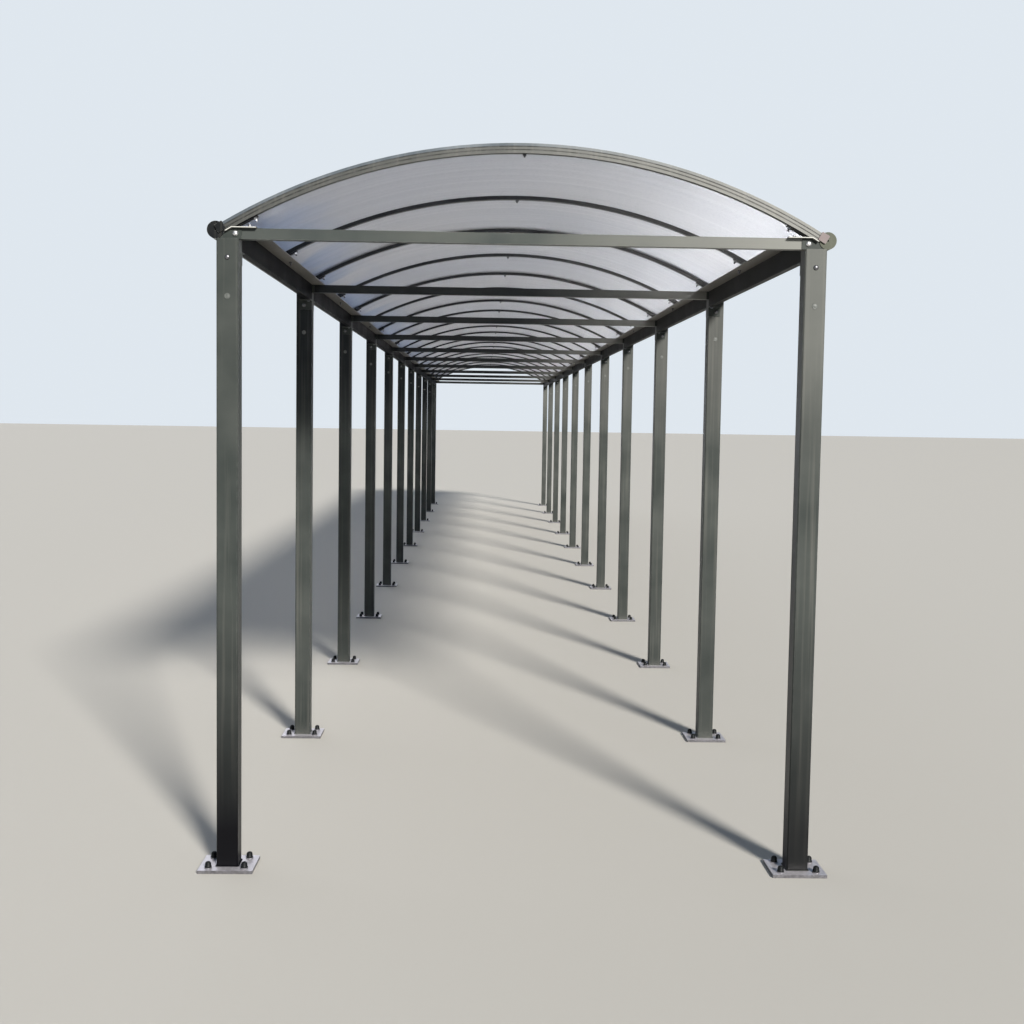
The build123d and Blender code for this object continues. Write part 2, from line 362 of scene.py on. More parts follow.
def overlay(tree, tone, colour, group, **values):
    """The tone with a colour laid over it by a group's mask, unless its amount is zero."""
    if not values["Amount"]:
        return tone
    return blend(tree, place_group(tree, group, **values)["Mask"], tone, colour)


print("helpers for groups are ready")

# %% Grain: fine speckle for the height, slow clouds for the colour
grain, given, put = new_group(
    "grain",
    [("Fine Size", "Float", 900.0), ("Cloud Size", "Float", 5.0)],
    [("Fine", "Float"), ("Cloud", "Float")],
)
here = own_place(grain)
grain.links.new(noise(grain, here, given["Fine Size"], 1.0), put["Fine"])
clouds = noise(grain, here, given["Cloud Size"], 5.0)
grain.links.new(remap(grain, clouds, 0.3, 0.7), put["Cloud"])
print("grain:", len(grain.nodes), "nodes")

# %% Weather: dust on what looks up, splashes near the ground, streaks down the sides
weather, given, put = new_group(
    "weather",
    [
        ("Colour", "Color", (0.1, 0.1, 0.1, 1)),
        ("Dust Colour", "Color", (0.3, 0.28, 0.24, 1)),
        ("Dust", "Float", 0.5),
        ("Streaks", "Float", 0.3),
        ("Splash Height", "Float", 0.35),
    ],
    [("Colour", "Color"), ("Mask", "Float")],
)
here = own_place(weather)
patches = remap(weather, noise(weather, here, 14.0, 6.0), 0.25, 0.75)
looks_up = product(weather, remap(weather, faces_to(weather)["Z"], 0.3, 0.95), patches)
splashed = maths(weather, "DIVIDE", split(weather, here)["Z"], given["Splash Height"])
splashed = maths(weather, "POWER", maths(weather, "SUBTRACT", 1.0, splashed, clamp=True), 2.0)
splashed = product(weather, splashed, remap(weather, noise(weather, here, 120.0, 4.0), 0.3, 0.6))
dusty = product(weather, maths(weather, "MAXIMUM", looks_up, splashed), given["Dust"])
runs = noise(weather, stretched(weather, here, 70.0, 70.0, 1.2), 1.0, 4.0)
runs = product(weather, remap(weather, runs, 0.5, 0.78), given["Streaks"])
mask = maths(weather, "MAXIMUM", dusty, runs, clamp=True)
weather.links.new(mask, put["Mask"])
weather.links.new(blend(weather, mask, given["Colour"], given["Dust Colour"]), put["Colour"])
print("weather:", len(weather.nodes), "nodes")

# %% Edge wear: where a rounded normal differs from the flat one, there is an edge
edge_wear, given, put = new_group(
    "edge_wear",
    [("Width", "Float", 0.002), ("Amount", "Float", 0.6), ("Break Up", "Float", 60.0)],
    [("Mask", "Float")],
)
rounded = node(edge_wear, "Bevel", {"Radius": given["Width"]}, samples=4).outputs[0]
flat = node(edge_wear, "NewGeometry").outputs["True Normal"]
alike = node(edge_wear, "VectorMath", {0: rounded, 1: flat}, operation="DOT_PRODUCT").outputs["Value"]
edge = remap(edge_wear, alike, 0.99, 0.8)
broken = remap(edge_wear, noise(edge_wear, own_place(edge_wear), given["Break Up"], 5.0), 0.42, 0.6)
edge_wear.links.new(product(edge_wear, edge, broken, given["Amount"]), put["Mask"])
print("edge wear:", len(edge_wear.nodes), "nodes")

# %% [markdown]
# ## Painted sunlight, shade and shadow
#
# Four more effects depend on the place or the way a face looks. High up on the
# sunny side, finishes are painted paler as sunlight, and the steel that the roof
# covers is painted almost black as its shade. The feet of the front posts get a
# painted shadow, and cut ends show bare zinc. They could be painted by hand as a
# mask on each piece. Reading the place from the Object coordinates does it for
# every piece at once.

# %% Painted sunlight: grows across the walkway towards the sun, above head height
HEAD_HEIGHT = 1.55
UNDER_ROOF = 2.0


def above_heads(tree, place):
    return remap(tree, place["Z"], HEAD_HEIGHT, UNDER_ROOF)


painted_sunlight, given, put = new_group(
    "painted_sunlight",
    [("Shady Edge", "Float", 0.0), ("Sunny Edge", "Float", 1.0), ("Amount", "Float", 1.0)],
    [("Mask", "Float")],
)
place = split(painted_sunlight, own_place(painted_sunlight))
sunny = remap(painted_sunlight, place["X"], given["Shady Edge"], given["Sunny Edge"])
mask = product(painted_sunlight, sunny, given["Amount"], above_heads(painted_sunlight, place))
painted_sunlight.links.new(mask, put["Mask"])
print("sunny side:", len(painted_sunlight.nodes), "nodes")

# %% Roof shade: what the roof covers, less of it on the sunny side
ROOF_END = FRAMES[-1] - post_half
SHADE_FADE = 0.06

roof_shade, given, put = new_group(
    "roof_shade",
    [("Amount", "Float", 0.9), ("Sunny Side", "Float", 1.0)],
    [("Mask", "Float")],
)
place = split(roof_shade, own_place(roof_shade))
from_middle = maths(roof_shade, "ABSOLUTE", place["Y"])
covered = remap(roof_shade, from_middle, ROOF_END - SHADE_FADE, ROOF_END, 1.0, 0.0)
left_over = remap(roof_shade, place["X"], 0.1, 0.75, 1.0, given["Sunny Side"])
mask = product(roof_shade, covered, above_heads(roof_shade, place), left_over, given["Amount"])
roof_shade.links.new(mask, put["Mask"])
print("roof shade:", len(roof_shade.nodes), "nodes")

# %% Painted shadow at the feet: the lowest metre of the posts, most of it at the front
painted_foot_shadow, given, put = new_group("painted_foot_shadow", [("Amount", "Float", 1.0)], [("Mask", "Float")])
place = split(painted_foot_shadow, own_place(painted_foot_shadow))
low = remap(painted_foot_shadow, place["Z"], 0.15, 1.05, 1.0, 0.0)
in_front = remap(painted_foot_shadow, place["Y"], FRAMES[0] + 0.1, FRAMES[0] + 0.3, 1.0, 0.2)
painted_shade_left = remap(painted_foot_shadow, place["X"], -post_centre, post_centre, 1.0, 0.88)
painted_foot_shadow.links.new(product(painted_foot_shadow, low, given["Amount"], in_front, painted_shade_left), put["Mask"])
print("damp feet:", len(painted_foot_shadow.nodes), "nodes")

# %% Cut ends: faces that look along the walkway
cut_ends, given, put = new_group("cut_ends", [("Amount", "Float", 1.0)], [("Mask", "Float")])
lengthways = maths(cut_ends, "ABSOLUTE", faces_to(cut_ends)["Y"])
cut_ends.links.new(remap(cut_ends, lengthways, 0.9, 0.98, 0.0, given["Amount"]), put["Mask"])
print("effect groups:", [group.name for group in bpy.data.node_groups])

# %% [markdown]
# ## Paint on steel
#
# Posts, ties, purlins and gutters are powder coated in a grey-green anthracite.
# The coat is satin and slightly pebbled, like orange peel. It chalks a little in
# the weather, so slow clouds of a lighter tone lie over it, and thin runs of dirt
# follow the rain down the posts. Under the roof the coat is painted almost black as
# shade, while high on the two end frames it is painted paler towards the sun as sunlight.
# One recipe with a few values for each member keeps the paints related, as coats
# from one tin are, without making them all alike.

# %% Coated steel
# Worn edges: real wear, whose pale tone is also a painted glint along the edges
WEAR_AND_GLINT_COAT = (0.30, 0.31, 0.29, 1)
# Painted sunlight: the paler coat high up towards the sun
COAT_IN_SUN = (0.20, 0.20, 0.185, 1)
# Painted shade: the near-black coat where the roof covers the steel
COAT_IN_SHADE = (0.006, 0.008, 0.010, 1)
# Painted shadow: the near-black coat over the feet of the posts
FEET_SHADOW_COAT = (0.001, 0.001, 0.002, 1)
BARE_ZINC = (0.50, 0.50, 0.47, 1)
COAT_DUST = (0.20, 0.19, 0.17, 1)


def coated_steel(
    name, colour, chalk, dust=0.5, streaks=0.0, shadow_at_feet=0.0, bare_ends=0.0,
    shade=0.0, sunny_shade=1.0, sun_paint=0.0, ior=1.25,
):
    """Paint between its own colour and its chalky one. Shadow at feet, bare ends, shade and painted
    sun are the amounts of those effects; all but bare ends are painted light or shade, and sunny shade is
    what the shade keeps in the sun."""
    material, tree, shader = new_material(name, Metallic=0.0, IOR=ior)
    texture = place_group(tree, grain, Fine_Size=700.0, Cloud_Size=4.0)
    tone = blend(tree, texture["Cloud"], (*colour, 1), (*chalk, 1))
    tone = overlay(tree, tone, WEAR_AND_GLINT_COAT, edge_wear, Width=0.0018, Amount=0.55, Break_Up=45.0)
    tone = overlay(tree, tone, COAT_IN_SUN, painted_sunlight, Sunny_Edge=post_outer, Amount=sun_paint)
    # Painted shade where the roof covers the steel, less of it on the sunny side
    tone = overlay(tree, tone, COAT_IN_SHADE, roof_shade, Amount=shade, Sunny_Side=sunny_shade)
    tone = overlay(tree, tone, BARE_ZINC, cut_ends, Amount=bare_ends)
    dirty = place_group(
        tree, weather, Colour=tone, Dust=dust, Streaks=streaks, Splash_Height=0.10, Dust_Colour=COAT_DUST
    )
    # Painted shadow over the lowest metre of the posts, most of it at the front
    tone = overlay(tree, dirty["Colour"], FEET_SHADOW_COAT, painted_foot_shadow, Amount=shadow_at_feet)
    tree.links.new(tone, shader.inputs["Base Color"])
    set_roughness(tree, shader, texture["Cloud"], 0.34, 0.46, dirty["Mask"])
    bump(tree, shader, texture["Fine"], 0.0004, 0.6)
    return material


print("the bleached coat:", COAT_IN_SUN[:3])

# %% Paints
# Posts: painted shadow at the feet, painted shade under the roof, painted sunlight high on the end frames
post_paint = coated_steel(
    "post_paint", (0.028, 0.033, 0.031), (0.050, 0.055, 0.051),
    dust=0.3, streaks=0.22, shadow_at_feet=1.0, shade=0.9, sunny_shade=0.35, sun_paint=0.3,
)
frame_paint = coated_steel("frame_paint", (0.022, 0.028, 0.027), (0.042, 0.047, 0.042))
# A darker copy with little gloss, painted shade on the purlins, with a little painted sunlight
purlin_shade_paint = coated_steel(
    "purlin_shade_paint", (0.004, 0.005, 0.007), (0.011, 0.012, 0.014), sun_paint=0.12, ior=1.05
)
# Ties: painted shade under the roof, less of it and painted sunlight towards the sun
tie_paint = coated_steel(
    "tie_paint", (0.036, 0.043, 0.042), (0.064, 0.070, 0.064), shade=0.85, sunny_shade=0.1, sun_paint=0.9
)
# A paler copy, painted light on the undersides of the eaves plates
eaves_lit_paint = coated_steel("eaves_lit_paint", (0.115, 0.110, 0.102), (0.165, 0.158, 0.146), bare_ends=0.9)
# Hoops: painted sunlight on the sunny side
hoop_paint = coated_steel("hoop_paint", (0.011, 0.013, 0.017), (0.024, 0.026, 0.030), dust=0.4, sun_paint=0.35)
print("paints:", [m.name for m in bpy.data.materials if m.name.endswith("_paint")])

# %% [markdown]
# ## Zinc
#
# The foot plates and washers are hot-dip galvanised. Fresh zinc freezes into
# crystals a few millimetres across, called spangle, each with its own tilt, so
# neighbours catch the light differently. A Voronoi pattern gives each crystal its
# own value, which drives both colour and roughness. What looks up is painted pale,
# partly as the white bloom of the weather and partly as painted light from above,
# while the sides and cut edges keep a duller grey, partly as painted shade.

# %% Galvanised steel
CRYSTALS = 140.0
# White bloom and painted light from above, on what looks up
ZINC_BLOOM_AND_TOP_LIGHT = (0.68, 0.65, 0.69, 1)


def galvanised_steel():
    material, tree, shader = new_material("galvanised_steel", Metallic=0.6)
    crystals = node(tree, "TexVoronoi", {"Vector": own_place(tree), "Scale": CRYSTALS}).outputs["Color"]
    crystal = node(tree, "SeparateColor", {0: crystals}).outputs[0]
    texture = place_group(tree, grain, Fine_Size=1200.0, Cloud_Size=18.0)
    # The darker base tone shows on the sides, partly as painted shade
    tone = blend(tree, crystal, (0.09, 0.09, 0.10, 1), (0.15, 0.145, 0.165, 1))
    tone = tint(tree, tone, texture["Cloud"], 0.4, (0.20, 0.20, 0.22, 1))
    looks_up = remap(tree, faces_to(tree)["Z"], 0.5, 0.95)
    top_light_and_bloom = product(tree, looks_up, remap(tree, crystal, 0.0, 1.0, 0.75, 1.0))
    tone = blend(tree, top_light_and_bloom, tone, ZINC_BLOOM_AND_TOP_LIGHT)
    dirty = place_group(tree, weather, Colour=tone, Dust=0.15, Streaks=0.1, Splash_Height=0.05)
    tree.links.new(dirty["Colour"], shader.inputs["Base Color"])
    set_roughness(tree, shader, crystal, 0.30, 0.46, dirty["Mask"])
    bump(tree, shader, texture["Fine"], 0.0003, 0.5)
    return material


zinc = galvanised_steel()
print("zinc crystals of about", round(1000 / CRYSTALS), "mm")

# %% [markdown]
# ## Aluminium trim
#
# The end trims and cover strips are extruded aluminium. Extrusion leaves fine
# lines along the profile, and years outside dull it to a soft grey, whose blue is a
# painted reflection of the sky. Below its upper groove the leg of the trim is coated
# in the olive grey of the frame, and both grooves are painted dark as shade. Towards
# the sunny side the trim is painted brighter as sunlight. Coat and grooves could be
# drawn on the unrolled trim, but the distance from the centre of the arch gives the
# height on the leg at once.

# %% Aluminium
UPPER_GROOVE = STRIP_TOP - 0.012
LOWER_GROOVE = STRIP_TOP - 0.024
COAT_FADE = 0.0005
# Painted sunlight: the trim's tone towards the sunny side
TRIM_IN_SUN = (0.115, 0.115, 0.108, 1)
# Painted shade in both grooves
GROOVE_SHADE = (0.012, 0.012, 0.011, 1)
WORN_TRIM = (0.40, 0.40, 0.40, 1)


def dulled_aluminium():
    material, tree, shader = new_material("trim_aluminium", Metallic=0.4)
    texture = place_group(tree, grain, Fine_Size=1000.0, Cloud_Size=6.0)
    shift = {"Vector": own_place(tree), "Location": (0, 0, -ARCH_CENTRE), "Scale": (1, 0, 1)}
    section = node(tree, "Mapping", shift).outputs[0]
    radius = node(tree, "VectorMath", {0: section}, operation="LENGTH").outputs["Value"]
    bare = remap(tree, radius, UPPER_GROOVE - COAT_FADE, UPPER_GROOVE + COAT_FADE)
    # The blue in this grey is a painted reflection of the sky
    tone = blend(tree, texture["Cloud"], (0.055, 0.070, 0.085, 1), (0.105, 0.120, 0.135, 1))
    tone = blend(tree, bare, (0.058, 0.060, 0.056, 1), tone)
    tone = overlay(tree, tone, TRIM_IN_SUN, painted_sunlight, Shady_Edge=-0.2, Sunny_Edge=0.9, Amount=1.0)
    upper = maths(tree, "ABSOLUTE", maths(tree, "SUBTRACT", radius, UPPER_GROOVE))
    lower = maths(tree, "ABSOLUTE", maths(tree, "SUBTRACT", radius, LOWER_GROOVE))
    groove = remap(tree, maths(tree, "MINIMUM", upper, lower), 0.0015, 0.0030, 0.75, 0.0)
    tone = blend(tree, groove, tone, GROOVE_SHADE)
    tone = overlay(tree, tone, WORN_TRIM, edge_wear, Width=0.0012, Amount=0.5, Break_Up=30.0)
    dirty = place_group(tree, weather, Colour=tone, Dust=0.6, Streaks=0.1)
    tree.links.new(dirty["Colour"], shader.inputs["Base Color"])
    set_roughness(tree, shader, texture["Cloud"], 0.34, 0.48, dirty["Mask"])
    bump(tree, shader, texture["Fine"], 0.0002, 0.4)
    return material


aluminium = dulled_aluminium()
print(aluminium.name, "has grooves at", round(UPPER_GROOVE, 4), "and", round(LOWER_GROOVE, 4))

# %% [markdown]
# ## Dark moulded plastic
#
# The caps in the gutter ends and the plugs in the trim ends are injection moulded.
# The mould leaves an even fine texture without any direction, so the grain group
# is enough for the relief. Towards the sunny side the dark plastic is painted pale
# as sunlight, and that sunlit colour is the one value that tells caps from plugs.

# %% Cap plastic
WORN_PLASTIC = (0.26, 0.26, 0.25, 1)


def moulded_plastic(name, sunlit):
    material, tree, shader = new_material(name, Metallic=0.0, IOR=1.2)
    texture = place_group(tree, grain, Fine_Size=1500.0, Cloud_Size=30.0)
    cloud = product(tree, texture["Cloud"], 0.5)
    tone = blend(tree, cloud, (0.004, 0.005, 0.006, 1), (0.013, 0.014, 0.015, 1))
    # Painted sunlight: the paler colour towards the sunny side
    tone = overlay(tree, tone, (*sunlit, 1), painted_sunlight, Shady_Edge=-0.6, Sunny_Edge=1.0, Amount=1.0)
    tone = overlay(tree, tone, WORN_PLASTIC, edge_wear, Width=0.0014, Amount=0.7, Break_Up=80.0)
    dirty = place_group(tree, weather, Colour=tone, Dust=0.3, Streaks=0.1)
    tree.links.new(dirty["Colour"], shader.inputs["Base Color"])
    set_roughness(tree, shader, texture["Cloud"], 0.42, 0.60)
    bump(tree, shader, texture["Fine"], 0.0003, 0.6)
    return material


gutter_plastic = moulded_plastic("gutter_cap_plastic", (0.080, 0.085, 0.066))
trim_cap_plastic = moulded_plastic("trim_cap_plastic", (0.180, 0.150, 0.150))
print("plastics:", gutter_plastic.name, "and", trim_cap_plastic.name)

# %% [markdown]
# ## Translucent roof sheets
#
# The roof is twin-wall polycarbonate. Two skins are held apart by webs every ten
# millimetres, and the webs run along the curve, so a fine stripe crosses the whole
# sheet. The plastic is milky: light soaks in on one face and leaves by the other,
# which is what subsurface scattering does in a closed slab. Modelling each web
# would cost hundreds of thousands of faces for a stripe that the eye sees from
# below as tone and relief, so the webs are a pattern. The upper skin lies in the
# weather and is chalky, the lower one keeps its gloss. Along the left eaves the
# sheet has patches of painted blue shade.

# %% The sheet's tone
WEB_PITCH = 0.010


def web_lines(tree, along):
    """1 on the webs between the skins, and 0 between them."""
    cell = maths(tree, "PINGPONG", maths(tree, "DIVIDE", along, WEB_PITCH), 0.5)
    return remap(tree, cell, 0.05, 0.16, 1.0, 0.0)


def sheet_tone(tree, here, texture, web, bands):
    """Milky white in clouds, with webs, haze, bands, painted blue shade on the left and specks of dirt."""
    # Painted blue shade along the left eaves
    painted_shade_left = remap(tree, split(tree, here)["X"], -0.72, -1.0)
    painted_shade_left = product(tree, painted_shade_left, remap(tree, noise(tree, here, 2.2, 3.0), 0.38, 0.52))
    specks = remap(tree, noise(tree, here, 95.0, 3.0), 0.52, 0.72)
    tone = blend(tree, texture["Cloud"], (0.50, 0.515, 0.555, 1), (0.585, 0.58, 0.59, 1))
    tone = tint(tree, tone, web, 0.25, (0.30, 0.30, 0.35, 1))
    tone = tint(tree, tone, texture["Fine"], 0.25, (0.62, 0.63, 0.68, 1))
    tone = tint(tree, tone, bands, 0.08, (0.38, 0.41, 0.50, 1))
    tone = tint(tree, tone, painted_shade_left, 0.8, (0.27, 0.35, 0.52, 1))
    return tint(tree, tone, specks, 0.40, (0.26, 0.28, 0.32, 1))


print("webs every", WEB_PITCH * 1000, "mm")

# %% Roof sheet
SHEET_DUST = (0.40, 0.40, 0.37, 1)
UPPER_SKIN_ROUGHNESS = 0.32


def roof_plastic():
    material, tree, shader = new_material(
        "roof_sheet", Metallic=0.0, IOR=1.24, Subsurface_Weight=0.3, Subsurface_Scale=0.03,
        Subsurface_Radius=(1.0, 1.0, 1.0), Transmission_Weight=0.7,
    )
    here = own_place(tree)
    web = web_lines(tree, split(tree, here)["Y"])
    texture = place_group(tree, grain, Fine_Size=500.0, Cloud_Size=0.8)
    bands = remap(tree, noise(tree, stretched(tree, here, 0.6, 22.0, 0.6), 1.0, 5.0), 0.3, 0.7)
    tone = sheet_tone(tree, here, texture, web, bands)
    dirty = place_group(tree, weather, Colour=tone, Dust=0.3, Streaks=0.0, Dust_Colour=SHEET_DUST)
    tree.links.new(dirty["Colour"], shader.inputs["Base Color"])
    tree.links.new(remap(tree, web, 0.0, 1.0, 0.91, 0.97), shader.inputs["Alpha"])
    gloss = remap(tree, bands, 0.0, 1.0, 0.42, 0.58)
    chalk = remap(tree, faces_to(tree)["Z"], 0.3, 0.8, 0.0, UPPER_SKIN_ROUGHNESS)
    tree.links.new(maths(tree, "ADD", gloss, chalk, clamp=True), shader.inputs["Roughness"])
    bump(tree, shader, maths(tree, "ADD", web, product(tree, texture["Fine"], 0.4)), 0.0004, 0.5)
    return material


roof_sheet = roof_plastic()
print(roof_sheet.name, "has", len(roof_sheet.node_tree.nodes), "nodes")

# %% [markdown]
# ## Materials on the model
#
# The record that comes with the model says which finish each node has. Each node
# takes the Blender material of that slot, and a few take a variant of it: posts
# have a painted shadow at their feet, purlins a darker copy as painted shade, ties
# are paler, and the eaves plates and end hoops a paler copy as painted light. A
# table does this in one place, so no node can be forgotten.

# %% Give every node its finish
FINISHES = {
    "frame_paint": frame_paint,
    "hoop_paint": hoop_paint,
    "galvanised_steel": zinc,
    "trim_aluminium": aluminium,
    "cap_plastic": gutter_plastic,
    "roof_sheet": roof_sheet,
}
finish_of = {part["node"]: FINISHES[part["material_slot"]] for part in frame["record"]["subparts"]}
finish_of["trim_caps"] = trim_cap_plastic
finish_of["tie_beams"] = tie_paint
# The end hoops take the paler frame paint, painted light on them
finish_of["front_hoop"] = finish_of["rear_hoop"] = frame_paint
for side in ("left", "right"):
    finish_of[side + "_posts"] = post_paint
    finish_of[side + "_purlins"] = purlin_shade_paint
    finish_of[side + "_eaves_plate"] = eaves_lit_paint
for name, cad_node in frame["nodes"].items():
    cad_node.data.materials.clear()
    cad_node.data.materials.append(finish_of[name])
print("nodes with a finish:", len(finish_of))

# %% [markdown]
# ## Tools for small pieces
#
# A bolt head, a washer or a cap is a turned shape: half its outline, spun round an
# axis. A nut is a six-sided block with its corners taken off. Each fastener is
# made once, standing on the ground and pointing up, and a copy is then turned and
# moved to each place, all in one mesh, as a fitter works from one box of bolts.
# A blank starts a hair below its seat, so no gap shows under it.

# %% Turned and six-sided blanks
SINK = 0.0002
SAME_PLACE = 1e-6


def turned(profile, sides=12):
    """A closed shape from (radius, height) points that start and end on the axis."""
    made = bmesh.new()
    points = [made.verts.new((radius, 0, level)) for radius, level in profile]
    edges = [made.edges.new(pair) for pair in zip(points, points[1:])]
    bmesh.ops.spin(
        made, geom=points + edges, cent=(0, 0, 0), axis=(0, 0, 1), dvec=(0, 0, 0),
        angle=math.tau, steps=sides, use_merge=True,
    )
    bmesh.ops.remove_doubles(made, verts=made.verts, dist=SAME_PLACE)
    bmesh.ops.recalc_face_normals(made, faces=made.faces)
    return made


def six_sided(width, low, high, chamfer):
    """A hexagonal block, width across its flats, with its upper corners taken off."""
    made = bmesh.new()
    radius = width / math.sqrt(3)
    bmesh.ops.create_cone(made, cap_ends=True, segments=6, radius1=radius, radius2=radius, depth=high - low)
    bmesh.ops.translate(made, verts=made.verts, vec=(0, 0, (low + high) / 2))
    rim = [edge for edge in made.edges if all(v.co.z > high - SAME_PLACE for v in edge.verts)]
    bmesh.ops.bevel(made, geom=rim, offset=chamfer, segments=1, profile=0.5, affect="EDGES", material=-1)
    return made


print("blanks sink in by", SINK * 1000, "mm")

# %% Finish a piece
SHARP_CORNER = 40


def finish_piece(name, made, materials):
    """The bmesh as an object that rides on the model, smooth except at its sharp corners."""
    mesh = bpy.data.meshes.new(name)
    made.to_mesh(mesh)
    made.free()
    for material in materials:
        mesh.materials.append(material)
    mesh.shade_smooth()
    mesh.set_sharp_from_angle(angle=math.radians(SHARP_CORNER))
    piece = bpy.data.objects.new(name, mesh)
    bpy.context.collection.objects.link(piece)
    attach(piece, "root")
    print(f"{name}: {len(mesh.polygons)} faces")


print("corners over", SHARP_CORNER, "degrees stay sharp")

# %% One mesh with a copy of the blanks at every place
TURN_ON = 0.7


def boxed(blanks, materials):
    """The blanks in one mesh. Each face says which of the materials it has."""
    box = bmesh.new()
    for blank, material in blanks:
        if material not in materials:
            materials.append(material)
        for face in blank.faces:
            face.material_index = materials.index(material)
        part = bpy.data.meshes.new("blank")
        blank.to_mesh(part)
        blank.free()
        box.from_mesh(part)
        bpy.data.meshes.remove(part)
    template = bpy.data.meshes.new("template")
    box.to_mesh(template)
    box.free()
    return template


def fasteners(name, blanks, places, turn_by=TURN_ON):
    """Blanks are (bmesh, material) pairs. A place is a point and the way the head points."""
    materials = []
    template = boxed(blanks, materials)
    made = bmesh.new()
    for index, (point, facing) in enumerate(places):
        count = len(made.verts)
        made.from_mesh(template)
        made.verts.ensure_lookup_table()
        turn = Vector(facing).to_track_quat("Z", "Y").to_matrix().to_4x4()
        spin = Matrix.Rotation(index * turn_by, 4, "Z")
        bmesh.ops.transform(made, matrix=Matrix.Translation(point) @ turn @ spin, verts=made.verts[count:])
    bpy.data.meshes.remove(template)
    finish_piece(name, made, materials)


print("each copy is turned on by", round(math.degrees(TURN_ON)), "degrees")

# %% [markdown]
# ## Black and bright fastener steel
#
# The anchor caps are black plastic, dusty from the ground. The bolt heads at the
# ties are zinc plated, which is brighter and smoother than hot-dip zinc, and the
# older ones have gone dark. On pieces this small the crystals of the zinc above
# would be lost, so one short recipe serves them all.

# %% Fastener finishes
ROUGHNESS_SPREAD = 0.15
GROUND_DUST = (0.25, 0.23, 0.20, 1)


def fastener_finish(name, dark, light, metallic, rough, dust, ior=1.5):
    material, tree, shader = new_material(name, Metallic=metallic, IOR=ior)
    texture = place_group(tree, grain, Fine_Size=2500.0, Cloud_Size=160.0)
    tone = blend(tree, texture["Cloud"], (*dark, 1), (*light, 1))
    dirty = place_group(
        tree, weather, Colour=tone, Dust=dust, Streaks=0.0, Splash_Height=0.05, Dust_Colour=GROUND_DUST
    )
    tree.links.new(dirty["Colour"], shader.inputs["Base Color"])
    set_roughness(tree, shader, texture["Cloud"], rough, rough + ROUGHNESS_SPREAD)
    bump(tree, shader, texture["Fine"], 0.0002, 0.4)
    return material


black_cap = fastener_finish(
    "black_anchor_cap", (0.003, 0.004, 0.005), (0.008, 0.009, 0.010), 0.0, 0.40, 0.04, ior=1.22
)
bright_zinc = fastener_finish("bright_zinc", (0.55, 0.55, 0.56), (0.78, 0.78, 0.79), 0.9, 0.22, 0.15)
dark_zinc = fastener_finish("dark_zinc", (0.10, 0.10, 0.11), (0.20, 0.20, 0.21), 0.8, 0.24, 0.30)
plug_plastic = fastener_finish("grey_plug", (0.058, 0.064, 0.060), (0.092, 0.098, 0.092), 0.0, 0.35, 0.30)
print("materials in all:", len(bpy.data.materials))

# %% [markdown]
# ## Anchors
#
# Each foot plate is held by four studs that stand up through its holes. A washer
# and a nut clamp the plate, and a black cap with a skirt keeps the thread dry.
# The washer and the cap are outlines spun round, and the nut between them is a
# six-sided block.

# %% Anchor washers and caps
ANCHOR_ACROSS = 0.0675
ANCHOR_ALONG = 0.0575
anchor_places = [
    (Vector((side * post_centre + x, y + place, plate_high)), (0, 0, 1))
    for side in SIDES
    for place in FRAMES
    for x in (-ANCHOR_ACROSS, ANCHOR_ACROSS)
    for y in (-ANCHOR_ALONG, ANCHOR_ALONG)
]
washer = turned([(0, -SINK), (0.0150, -SINK), (0.0150, 0.0018), (0.0143, 0.0025), (0, 0.0025)], 16)
nut = six_sided(0.019, 0.0024, 0.0105, 0.0012)
cap = turned([
    (0, 0.0030), (0.0136, 0.0030), (0.0136, 0.0062), (0.0120, 0.0080),
    (0.0116, 0.0175), (0.0096, 0.0222), (0.0056, 0.0248), (0, 0.0256),
])
anchor = [(washer, zinc), (nut, dark_zinc), (cap, black_cap)]
fasteners("anchor_caps", anchor, anchor_places)

# %% [markdown]
# ## Bolts in the posts
#
# A bolt through each post head holds the purlin seats. Its head is domed, so that
# nothing catches on it, and below it a shallow plug closes a second hole. A dome
# could be half a ball, but a pressed head is flatter, which an outline of a few
# points gives. On the outer faces of the end frames no seat lies under the head,
# so there it stands on the post.

# %% Faces of the posts that carry bolts
BOLT_LEVEL = post_top - 0.068
PLUG_LEVEL = post_top - 0.209
SEAT_THICKNESS = 0.004
POST_FACES = [(side, place, toward) for side in SIDES for place in FRAMES for toward in (-1, 1)]


def bay_beyond(place, toward):
    """Whether the walkway goes on beyond a frame in that direction."""
    return FRAMES[0] < place + toward * BAY / 2 < FRAMES[-1]


def on_post(side, place, toward, out, level):
    """A point that far out from a face of a post, and the way that the face looks."""
    return Vector((side * post_centre, place + toward * (post_half + out), level)), (0, toward, 0)


print("post faces with bolts:", len(POST_FACES))

# %% Domed bolts and shallow plugs
dome = turned([
    (0, -SINK), (0.0098, -SINK), (0.0098, 0.0014), (0.0088, 0.0034),
    (0.0062, 0.0054), (0.0030, 0.0062), (0, 0.0064),
])
bolt_places = [
    on_post(side, place, toward, SEAT_THICKNESS if bay_beyond(place, toward) else 0, BOLT_LEVEL)
    for side, place, toward in POST_FACES
]
fasteners("post_bolts", [(dome, dark_zinc)], bolt_places)
plug = turned([
    (0, -SINK), (0.0110, -SINK), (0.0110, 0.0008), (0.0098, 0.0020),
    (0.0080, 0.0017), (0.0045, 0.0024), (0, 0.0026),
], 16)
plug_places = [on_post(side, place, toward, 0, PLUG_LEVEL) for side, place, toward in POST_FACES]
fasteners("post_plugs", [(plug, plug_plastic)], plug_places)

